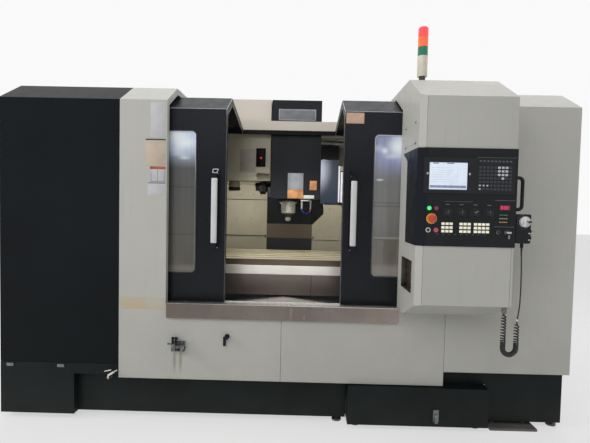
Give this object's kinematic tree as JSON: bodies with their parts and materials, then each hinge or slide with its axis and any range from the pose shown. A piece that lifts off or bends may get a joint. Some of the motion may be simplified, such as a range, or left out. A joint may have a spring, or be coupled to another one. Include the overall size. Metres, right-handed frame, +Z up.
{
  "type": "cnc machining center",
  "caption": "Vertical machining center with sliding doors, T-slot table, spindle head, tool changer, operator panel and handwheel pendant.",
  "frame": {"origin": "centre of the bounding box on the floor, with the loose pendant lead left out of the measurement", "axes": "+X to the operator's right, +Y from the operator into the machine, +Z up"},
  "size_m": [3.766, 3.0302, 2.622],
  "materials": {
    "cast": "painted casting, satin",
    "feet": "dark, worn",
    "black_cover": "fine textured satin",
    "black_guard": "satin, dusty",
    "cream": "textured satin",
    "inner_cream": "satin",
    "stainless": "brushed, lightly stained",
    "way_cover": "brushed",
    "dark_sheet": "satin",
    "door_paint": "satin, dark blue grey",
    "window": "scratched safety pane",
    "white_plastic": "satin",
    "black_plastic": "fine textured",
    "lead": "matt",
    "tower": "three lenses",
    "lamp": "clear lens",
    "machined": "ground",
    "bright": "bright",
    "changer": "satin black",
    "red_plastic": "glossy",
    "green_plastic": "lit",
    "pink_plastic": "lit"
  },
  "bodies": {
    "machine": {"base_casting": "cast", "levelling_feet": "feet", "column": "cast", "lower_guard": "black_guard", "left_cover": "black_cover", "left_pillar": "cream", "front_panel_left": "cream", "front_panel_right": "cream", "right_cover": "cream", "operator_box": "cream", "front_sill": "stainless", "chip_tray": "stainless", "inner_walls": "inner_cream", "roof_panels": "inner_cream", "magazine_cover": "inner_cream", "door_rails": "machined", "coolant_tank": "black_guard", "control_panel": "black_plastic", "display_unit": "black_plastic", "lit_keys": "white_plastic", "side_handle": "black_plastic", "pendant": "black_plastic", "cord_glands": "black_plastic", "pendant_cord": "lead", "pendant_curl": "lead", "signal_tower": "tower", "electrical_cabinet": "cream", "work_lamp": "lamp", "axis_drives": "machined", "panel_fittings": "bright"},
    "left_door": {"left_door": "door_paint", "left_window": "window", "left_handle": "white_plastic"},
    "right_door": {"right_door": "door_paint", "right_window": "window", "right_handle": "white_plastic"},
    "saddle": {"saddle": "cast", "saddle_apron": "stainless", "x_drive": "machined"},
    "table": {"table": "machined"},
    "middle_way_cover": {"middle_way_cover": "way_cover"},
    "head": {"spindle_head": "cast", "head_cover": "dark_sheet", "coolant_nozzles": "bright"},
    "middle_head_cover": {"middle_head_cover": "dark_sheet"},
    "spindle": {"spindle": "bright"},
    "tool_magazine": {"tool_magazine": "changer"},
    "tool_arm": {"tool_arm": "changer"},
    "emergency_stop": {"emergency_stop": "red_plastic"},
    "power_on_button": {"power_on_button": "green_plastic"},
    "power_off_button": {"power_off_button": "red_plastic"},
    "cycle_start_button": {"cycle_start_button": "white_plastic"},
    "feed_hold_button": {"feed_hold_button": "pink_plastic"},
    "mode_knob": {"mode_knob": "black_plastic"},
    "feed_knob": {"feed_knob": "black_plastic"},
    "rapid_knob": {"rapid_knob": "black_plastic"},
    "spindle_knob": {"spindle_knob": "black_plastic"},
    "pendant_wheel": {"pendant_wheel": "bright"},
    "cabinet_door": {"cabinet_door": "cream"},
    "main_switch": {"main_switch": "red_plastic"}
  },
  "joints": [
    {"name": "left_door_slide", "type": "slide", "parent": "machine", "child": "left_door", "axis": [1, 0, 0], "range_m": [-0.27, 0.385]},
    {"name": "right_door_slide", "type": "slide", "parent": "machine", "child": "right_door", "axis": [1, 0, 0], "range_m": [-0.385, 0.265]},
    {"name": "saddle_y", "type": "slide", "parent": "machine", "child": "saddle", "axis": [0, 1, 0], "range_m": [-0.03, 0.67]},
    {"name": "table_x", "type": "slide", "parent": "saddle", "child": "table", "axis": [1, 0, 0], "range_m": [-0.7, 0.7]},
    {"name": "way_cover_slide", "type": "slide", "parent": "machine", "child": "middle_way_cover", "axis": [0, 1, 0], "range_m": [-0.015, 0.335]},
    {"name": "head_z", "type": "slide", "parent": "machine", "child": "head", "axis": [0, 0, 1], "range_m": [-0.211, 0.489]},
    {"name": "head_way_cover_slide", "type": "slide", "parent": "machine", "child": "middle_head_cover", "axis": [0, 0, 1], "range_m": [-0.1055, 0.2445]},
    {"name": "spindle_turn", "type": "hinge", "parent": "head", "child": "spindle", "pos_m": [-0.02, 0.09515, 1.4], "axis": [0, 0, 1], "continuous": true},
    {"name": "magazine_turn", "type": "hinge", "parent": "machine", "child": "tool_magazine", "pos_m": [-0.66, 0.31515, 2.015], "axis": [1, 0, 0], "continuous": true},
    {"name": "changer_arm_swing", "type": "hinge", "parent": "machine", "child": "tool_arm", "pos_m": [-0.255, 0.09515, 1.6], "axis": [0, 0, 1], "range_deg": [-6, 6]},
    {"name": "emergency_stop_press", "type": "slide", "parent": "machine", "child": "emergency_stop", "axis": [0, 1, 0], "range_m": [0, 0.007], "stiffness_N_per_m": 800},
    {"name": "power_on_press", "type": "slide", "parent": "machine", "child": "power_on_button", "axis": [0, 1, 0], "range_m": [0, 0.003], "stiffness_N_per_m": 500},
    {"name": "power_off_press", "type": "slide", "parent": "machine", "child": "power_off_button", "axis": [0, 1, 0], "range_m": [0, 0.003], "stiffness_N_per_m": 500},
    {"name": "cycle_start_press", "type": "slide", "parent": "machine", "child": "cycle_start_button", "axis": [0, 1, 0], "range_m": [0, 0.003], "stiffness_N_per_m": 500},
    {"name": "feed_hold_press", "type": "slide", "parent": "machine", "child": "feed_hold_button", "axis": [0, 1, 0], "range_m": [0, 0.003], "stiffness_N_per_m": 500},
    {"name": "mode_knob_turn", "type": "hinge", "parent": "machine", "child": "mode_knob", "pos_m": [0.921, -1.46985, 1.441], "axis": [0, 1, 0], "range_deg": [-140, 140]},
    {"name": "feed_knob_turn", "type": "hinge", "parent": "machine", "child": "feed_knob", "pos_m": [0.9987, -1.46985, 1.441], "axis": [0, 1, 0], "range_deg": [-140, 140]},
    {"name": "rapid_knob_turn", "type": "hinge", "parent": "machine", "child": "rapid_knob", "pos_m": [1.0764, -1.46985, 1.441], "axis": [0, 1, 0], "range_deg": [-140, 140]},
    {"name": "spindle_knob_turn", "type": "hinge", "parent": "machine", "child": "spindle_knob", "pos_m": [1.1541, -1.46985, 1.441], "axis": [0, 1, 0], "range_deg": [-140, 140]},
    {"name": "pendant_wheel_turn", "type": "hinge", "parent": "machine", "child": "pendant_wheel", "pos_m": [1.353, -1.46985, 1.398], "axis": [0, 1, 0], "continuous": true},
    {"name": "cabinet_door_hinge", "type": "hinge", "parent": "machine", "child": "cabinet_door", "pos_m": [0.692, 1.36315, 1.19], "axis": [0, 0, 1], "range_deg": [0, 110]},
    {"name": "main_switch_turn", "type": "hinge", "parent": "cabinet_door", "child": "main_switch", "pos_m": [1.49, 1.38515, 1.5], "axis": [0, 1, 0], "range_deg": [0, 90]}
  ],
  "couplings": [
    {"joint": "way_cover_slide", "follows": "saddle_y", "ratio": 0.5},
    {"joint": "head_way_cover_slide", "follows": "head_z", "ratio": 0.5}
  ]
}
